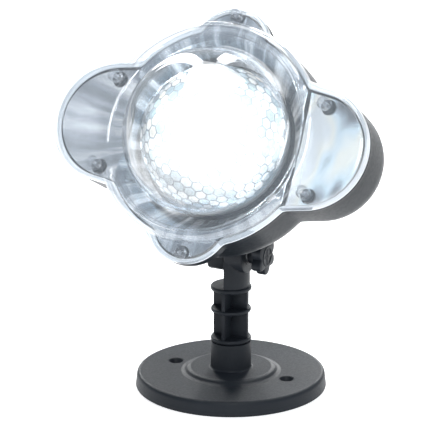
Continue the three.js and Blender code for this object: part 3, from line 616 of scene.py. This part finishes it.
def make_knob():
    pivot_z = PIVOT.z / MM
    star = []
    for i in range(96):
        angle = 2 * math.pi * i / 96
        lobe = (0.5 + 0.5 * math.cos(6 * angle)) ** 0.6
        r = 8.8 + 3.4 * lobe
        star.append((r * math.cos(angle), r * math.sin(angle)))
    blade = prism(star, 18.5, 25, 1.2)
    hub = turned(rounded([(0.001, 13.6), (5.8, 13.6), (6.4, 19), (0.001, 19)], 0.5), 48)
    rim = turned(rounded([(5.2, 24.6), (6.6, 24.6), (6.6, 25.4), (5.2, 25.4)], 0.3), 48)
    spokes = [prism([(-5.4, -0.7), (5.4, -0.7), (5.4, 0.7), (-5.4, 0.7)], 24.6, 25.3, 0.15)]
    spokes.append(prism([(-0.7, -5.4), (0.7, -5.4), (0.7, 5.4), (-0.7, 5.4)], 24.6, 25.3, 0.15))
    whole = along_x(merged(blade, hub, rim, *spokes), pivot_z)
    knob = add_piece("knob_shell", *whole, "knob", "black_plastic", BLACK, UPRIGHT)
    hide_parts("star_knob")


# ---- rear housing ---------------------------------------------------------------------------------
def housing_profile(angle, skin):
    deepest = FLANGE_Z - BACK_Z
    points = [(0.001, BACK_Z + skin)]
    for i in range(16, -1, -1):
        turn = math.pi / 2 * i / 16
        depth = SIDE_DEPTH + (deepest - SIDE_DEPTH) * math.sin(turn)
        inset = DRAFT + BACK_ROUND * (1 - math.cos(turn))
        points.append((outline_radius(angle, inset + skin, False), max(FLANGE_Z - depth, BACK_Z + skin)))
    return points


def make_housing():
    def walls(angle):
        outer = housing_profile(angle, 0)
        inner = housing_profile(angle, WALL)
        edge = outline_radius(angle)
        ear_foot = outline_radius(angle, 0.3, False)
        ear_edge = outline_radius(angle, 0.3)
        back_of_ear = FLANGE_Z - EAR_DEPTH
        rim = [(ear_foot, back_of_ear), (ear_foot + (ear_edge - ear_foot) * 0.97, back_of_ear)]
        rim += [(ear_edge, back_of_ear + 0.8), (edge - 0.1, FLANGE_Z - 1.2), (edge, FLANGE_Z - 0.4)]
        lip, lip_foot = outline_radius(angle, 3.4), outline_radius(angle, 3.4, False)
        rim += [(edge - 0.3, FLANGE_Z), (lip, FLANGE_Z), (lip, FLANGE_Z - 1.2), (lip_foot, FLANGE_Z - 2)]
        return outer + rim + inner[::-1]

    shell = add_piece("housing_shell", *polar(walls, 288), "head", "gloss_black", GLOSS_BLACK)
    wells = []
    for x, y in PILLARS:
        seat = 44 if x else 65
        wells.append((*turned([(0.001, 5), (3.3, 5), (3.3, seat), (0.001, seat)], 32, x, y), OPTICS))
    wells.append((*turned([(0.001, 15), (6.4, 15), (6.4, 24), (0.001, 24)], 40, 30, -18), OPTICS))
    carve(shell, wells)
    sleeves = []
    for x, y in PILLARS:
        if x:
            foot = sleeve_start(x, y)
            sleeve = [(3.3, foot), (4.3, foot), (4.3, 67.8), (1.8, 67.8), (1.8, 44), (3.3, 44)]
            sleeves.append(turned(sleeve, 32, x, y))
    inside = add_piece("screw_towers", *merged(*sleeves), "head", "gloss_black", GLOSS_BLACK)
    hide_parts("rear_housing")
    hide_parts("rear_housing")


def sleeve_start(x, y):
    """Where a screw tower at x, y meets the inside of the housing's rounded back."""
    angle, r = math.atan2(y, x), math.hypot(x, y)
    reach = [(edge - r, z) for edge, z in housing_profile(angle, WALL * 0.5)]
    return next((z for room, z in reach if room > 3.0), FLANGE_Z - SIDE_DEPTH)


def make_lug():
    axis = -AXIS_ABOVE_PIVOT / MM
    outline = [(BACK_Z + 1.5, axis + 34), (BACK_Z + 1.5, axis + 5), (BACK_Z - 1, axis - 1)]
    outline += [(3, axis - 11.8)]
    outline += arc(0, axis, 12.4, -78, -212, 24)
    vertices, faces = prism(outline, 0.4, 12.3, 0.7)
    sideways = [(-c, b, a) for a, b, c in vertices]
    lug = add_piece("hinge_lug", sideways, faces, "head", "gloss_black", GLOSS_BLACK)
    hexagon = [(5.0 * math.cos(a), axis + 5.0 * math.sin(a)) for a in arc_angles(0, 300, 5)]
    pocket, sides = prism(hexagon, 8.6, 14, 0.01)
    carve(lug, [([(-c, b, a) for a, b, c in pocket], sides, OPTICS)])
    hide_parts("rear_housing")


# ---- cover ----------------------------------------------------------------------------------------
def cover_surface(angle, skin):
    dome_r = DOME_R - skin
    valley = VALLEY_Z - skin
    foot = math.acos((valley + 1.2 - DOME_CENTRE_Z) / dome_r)
    half_width = BEAD_HALF_WIDTH - skin * 0.8
    share = wing_share(angle)
    ear = 1 - smooth_step(abs(math.cos(angle)), 0.2, 0.45)
    height = 5.5 + (2 - 5.5) * share
    face = WING_FACE_Z + (EAR_FACE_Z - WING_FACE_Z) * ear - skin
    edge = outline_radius(angle, skin)
    foot_r = BEAD_R + half_width
    corner = min(3, (edge - foot_r) * 0.7)
    dome = [foot * i / 28 for i in range(29)]
    points = [(max(dome_r * math.sin(a), 0.001), DOME_CENTRE_Z + dome_r * math.cos(a)) for a in dome]
    points += [(dome_r + 0.6, valley + 0.3), (dome_r + 1.6, valley)]
    points += [
        (BEAD_R + half_width * math.cos(a), valley + height * math.sin(a)) for a in arc_angles(180, 0, 12)
    ]
    points.append((foot_r + 0.4, face + 0.1))
    points += [
        (edge - corner * (1 - math.cos(a)), face - 0.2 - corner * (1 - math.sin(a)))
        for a in arc_angles(90, 0, 6)
    ]
    points.append((edge, RIM_Z + 0.1))
    return points


def make_cover():
    def walls(angle):
        return cover_surface(angle, 0) + cover_surface(angle, 2)[::-1]

    bosses = [
        turned(rounded([(1.8, 71), (4.0, 71), (4.0, 77), (1.8, 77)], 0.4), 40, x, y) for x, y in PILLARS
    ]
    cover = add_piece("cover_shell", *polar(walls, 288), "head", "clear_cover", COVER)
    posts = add_piece("cover_bosses", *merged(*bosses), "head", "clear_cover", COVER)
    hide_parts("front_cover")
    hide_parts("front_cover")


def make_gasket():
    def section(angle):
        outer, inner = outline_radius(angle, 0.1), outline_radius(angle, 3.2)
        low, high = FLANGE_Z + 0.3, RIM_Z - 0.2
        return rounded([(inner, low), (outer, low), (outer, high), (inner, high)], 0.4)

    gasket = add_piece("gasket_ring", *polar(section, 288), "head", "seal", SEAL)
    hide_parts("cover_gasket")


# ---- reflectors -----------------------------------------------------------------------------------
def make_bowl():
    def section(angle):
        cut = (WING_INNER_X - 1) / max(abs(math.cos(angle)), 1e-3)
        outer = min(outline_radius(angle, LINER_INSET), cut)
        bend = min(BOWL_OUTER_R, outer - 0.6)
        slope = (LINER_Z + 1.5 - BOWL_INNER_Z) / (BOWL_OUTER_R - BOWL_INNER_R)
        front = []
        for i in range(9):
            r = BOWL_INNER_R + (bend - BOWL_INNER_R) * i / 8
            front.append((r, BOWL_INNER_Z + (r - BOWL_INNER_R) * slope))
        level = BOWL_INNER_Z + (bend - BOWL_INNER_R) * slope
        front.append((outer, level))
        return front + [(r, z - LINER_T) for r, z in front[::-1]]

    bowl = add_piece("bowl_shell", *polar(section, 240), "head", "metallised", BOWL)
    hole = [(0.001, 60), (PILLAR_HOLE_R, 60), (PILLAR_HOLE_R, 78), (0.001, 78)]
    carve(bowl, [(*turned(hole, 40, x, y), OPTICS) for x, y in PILLARS])
    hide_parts("reflector_bowl")


def make_wing(side, name, material):
    tip = LOBE_OFFSET + LOBE_R - LINER_INSET

    def dish(x, y):
        outward = (x - WING_INNER_X) / (tip - WING_INNER_X)
        return LINER_Z - 5.5 + 6.5 * outward * outward + 3 * (y / LOBE_R) ** 2

    columns, rows = 32, 32
    vertices, faces = [], []
    for layer in (0, -LINER_T):
        for i in range(columns + 1):
            x = WING_INNER_X + (tip - WING_INNER_X) * (1 - (1 - i / columns) ** 1.7)
            half = half_height(x)
            for j in range(rows + 1):
                y = half * (2 * j / rows - 1)
                vertices.append((side * x, y, dish(x, y) + layer))
    layer_size = (columns + 1) * (rows + 1)
    for i in range(columns):
        for j in range(rows):
            a = i * (rows + 1) + j
            face = [a, a + 1, a + rows + 2, a + rows + 1]
            faces.append(face)
            faces.append([v + layer_size for v in face[::-1]])
    edge = [i * (rows + 1) for i in range(columns + 1)]
    edge += [columns * (rows + 1) + j for j in range(1, rows + 1)]
    edge += [i * (rows + 1) + rows for i in range(columns - 1, -1, -1)] + list(range(rows - 1, 0, -1))
    for a, b in zip(edge, edge[1:] + edge[:1]):
        faces.append([a, b, b + layer_size, a + layer_size])
    wing = add_piece(name + "_shell", vertices, faces, "head", "metallised", material)
    hole = [(0.001, 55), (PILLAR_HOLE_R, 55), (PILLAR_HOLE_R, 80), (0.001, 80)]
    carve(wing, [(*turned(hole, 40, x, y), OPTICS) for x, y in PILLARS if x * side > 0])
    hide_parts(name)


def half_height(x):
    """Half the height of a wing's mirror at x, inside the outline and its rounded junction."""
    low, high = 0.0, LOBE_R + 6
    for _ in range(24):
        middle = (low + high) / 2
        inside = math.hypot(x, middle) < outline_radius(math.atan2(middle, x), LINER_INSET)
        low, high = (middle, high) if inside else (low, middle)
    return low


# ---- crystal --------------------------------------------------------------------------------------
def make_crystal():
    """Hexagonal facets: each point of a finely divided icosahedron becomes one flat, raised facet."""
    work = bmesh.new()
    bmesh.ops.create_icosphere(work, subdivisions=4, radius=CRYSTAL_R)
    bmesh.ops.rotate(work, verts=work.verts, matrix=Euler((0.3, 0.2, 0)).to_matrix())
    vertices, faces, tones = [], [], []
    floor = DECK_TOP_Z + 4 - CRYSTAL_CENTRE_Z
    for vertex in work.verts:
        if vertex.co.z < floor:
            continue
        out = vertex.co.normalized()
        east = out.orthogonal().normalized()
        north = out.cross(east)
        corners = [face.calc_center_median() for face in vertex.link_faces]
        ring = sorted(corners, key=lambda c: math.atan2(c.dot(east), c.dot(north)))
        start = len(vertices)
        count = len(ring)
        rim_at = CRYSTAL_R * 0.985
        for corner in ring:
            vertices.append(tuple(corner.normalized() * rim_at + Vector((0, 0, CRYSTAL_CENTRE_Z))))
        for corner in ring:
            inner = out * CRYSTAL_R + (corner.normalized() * CRYSTAL_R - out * CRYSTAL_R) * 0.86
            inner = inner + out * (CRYSTAL_R - inner.dot(out))
            vertices.append(tuple(inner + Vector((0, 0, CRYSTAL_CENTRE_Z))))
        faces.append([start + count + i for i in range(count)])
        # each facet's random tone, which also sets the colour and strength of the glow painted on it
        tones.append(random.uniform(0.05, 1))
        for i in range(count):
            k = (i + 1) % count
            faces.append([start + i, start + k, start + count + k, start + count + i])
            # bevels get tone 0: no painted glow, and a darker see-through that is painted shade on the
            # facets' edges
            tones.append(0.0)
    work.free()
    dome = add_piece("crystal_facets", vertices, faces, "crystal", "clear_crystal", CRYSTAL, smooth=False)
    dome.data.attributes.new("facet_glow_tone", "FLOAT", "FACE").data.foreach_set("value", tones)
    skirt_profile = [(42.5, 60.4), (47, 60.4)]
    for i in range(3):
        skirt_profile += [(47 - i * 0.5, 61.4 + i * 1.4), (45.9 - i * 0.4, 61.9 + i * 1.4)]
    skirt_profile += [(43.6, 66), (42.5, 66)]
    skirt = add_piece("crystal_skirt", *turned(skirt_profile, 192), "crystal", "clear_crystal", SKIRT)
    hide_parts("crystal_dome")
    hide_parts("crystal_dome")


# ---- carried-over parts ---------------------------------------------------------------------------
def finish_carried():
    looks = {
        "knob_nut": BRASS, "clamp_washer": STEEL, "hinge_bolt": STEEL, "heat_sink": ALUMINIUM,
        "bearing_bush": WHITE, "led_plate": ALUMINIUM, "led_board": BOARD, "lens_ring": WHITE,
        "led_emitter": GLOW, "led_lens": LENS, "dome_carrier": LIT_WHITE, "drive_pinion": WHITE,
        "motor_shaft": STEEL, "gear_motor": STEEL, "motor_bracket": STEEL, "driver_board": BOARD,
        "driver_transformer": DARK, "driver_capacitor": DARK, "cable_gland": BLACK,
        "gland_nut": BLACK,
        "motor_screw_1": STEEL, "motor_screw_2": STEEL,
    }
    looks.update({f"cover_screw_{i}": STEEL for i in range(1, 7)})
    for name, material in looks.items():
        node = frame["nodes"][name]
        node.data.materials.clear()
        node.data.materials.append(material)
        bevel = node.modifiers.new("edges", "BEVEL")
        bevel.width = 0.2 * MM
        bevel.segments = 2
        bevel.limit_method = "ANGLE"
        bevel.angle_limit = math.radians(40)


# ---- stage, light and camera ----------------------------------------------------------------------
def make_stage():
    floor = bpy.data.meshes.new("floor")
    span = 6.0
    corners = [(-span, -span, 0), (span, -span, 0), (span, span, 0), (-span, span, 0)]
    floor.from_pydata(corners, [], [(0, 1, 2, 3)])
    ground = bpy.data.objects.new("floor", floor)
    bpy.context.scene.collection.objects.link(ground)
    m = Nodes("pale_floor")
    m.join(m.ramp(m.noise(3), [(0.3, 0.88), (0.7, 0.9)]), m.shader.inputs["Base Color"])
    m.set(Roughness=0.6, Emission_Color=(1, 1, 1, 1), Emission_Strength=0.45)
    floor.materials.append(m.material)
    world = bpy.data.worlds.new("studio")
    world.use_nodes = True
    world.node_tree.nodes["Background"].inputs["Color"].default_value = (0.86, 0.94, 1.0, 1)
    world.node_tree.nodes["Background"].inputs["Strength"].default_value = 0.5
    bpy.context.scene.world = world


def area_light(name, place, target, size, power):
    light = bpy.data.lights.new(name, "AREA")
    light.shape = "RECTANGLE"
    light.size, light.size_y = size
    light.energy = power
    lamp = bpy.data.objects.new(name, light)
    bpy.context.scene.collection.objects.link(lamp)
    lamp.location = place
    lamp.rotation_euler = (Vector(target) - Vector(place)).to_track_quat("-Z", "Y").to_euler()


def lamp_light():
    """The lamp's own light, inside the crystal."""
    light = bpy.data.lights.new("lamp", "POINT")
    light.energy = 0.3
    light.shadow_soft_size = 0.012
    lamp = bpy.data.objects.new("lamp", light)
    bpy.context.scene.collection.objects.link(lamp)
    lamp.location = OPTICS @ Vector((0, 0, 86))


def make_camera():
    azimuth, elevation = math.radians(25.46), math.radians(18.08)
    level = Vector((math.sin(azimuth), -math.cos(azimuth), 0))
    back = level * math.cos(elevation) + Vector((0, 0, math.sin(elevation)))
    right = Vector((math.cos(azimuth), math.sin(azimuth), 0))
    camera = bpy.data.cameras.new("camera")
    camera.sensor_width = 36
    camera.lens = 339.2
    camera.clip_end = 20
    eye = bpy.data.objects.new("camera", camera)
    bpy.context.scene.collection.objects.link(eye)
    target = right * -0.01133 + Vector((0, 0, 0.11334))
    eye.location = target + back * 2.5
    eye.rotation_euler = (-back).to_track_quat("-Z", "Y").to_euler()
    bpy.context.scene.camera = eye


make_base()
make_post()
make_knob()
make_housing()
make_lug()
make_cover()
make_gasket()
make_bowl()
make_wing(1, "right_wing_mirror", WING)
make_wing(-1, "left_wing_mirror", LEFT_WING)
make_crystal()
finish_carried()
make_stage()
area_light("left_strip", (-0.912, 1.068, 0.95), (0, 0, 0.16), (0.24, 1.5), 9)
area_light("right_strip", (-0.32, 1.427, 0.80), (0, 0, 0.16), (0.24, 1.5), 9)
area_light("front_key", (0.9, -1.5, 1.6), (0, 0, 0.1), (1.0, 1.0), 20)
area_light("top", (0.0, 0.2, 1.8), (0, 0, 0.1), (1.6, 1.6), 30)
lamp_light()
make_camera()
scene = bpy.context.scene
scene.view_settings.view_transform = "Standard"
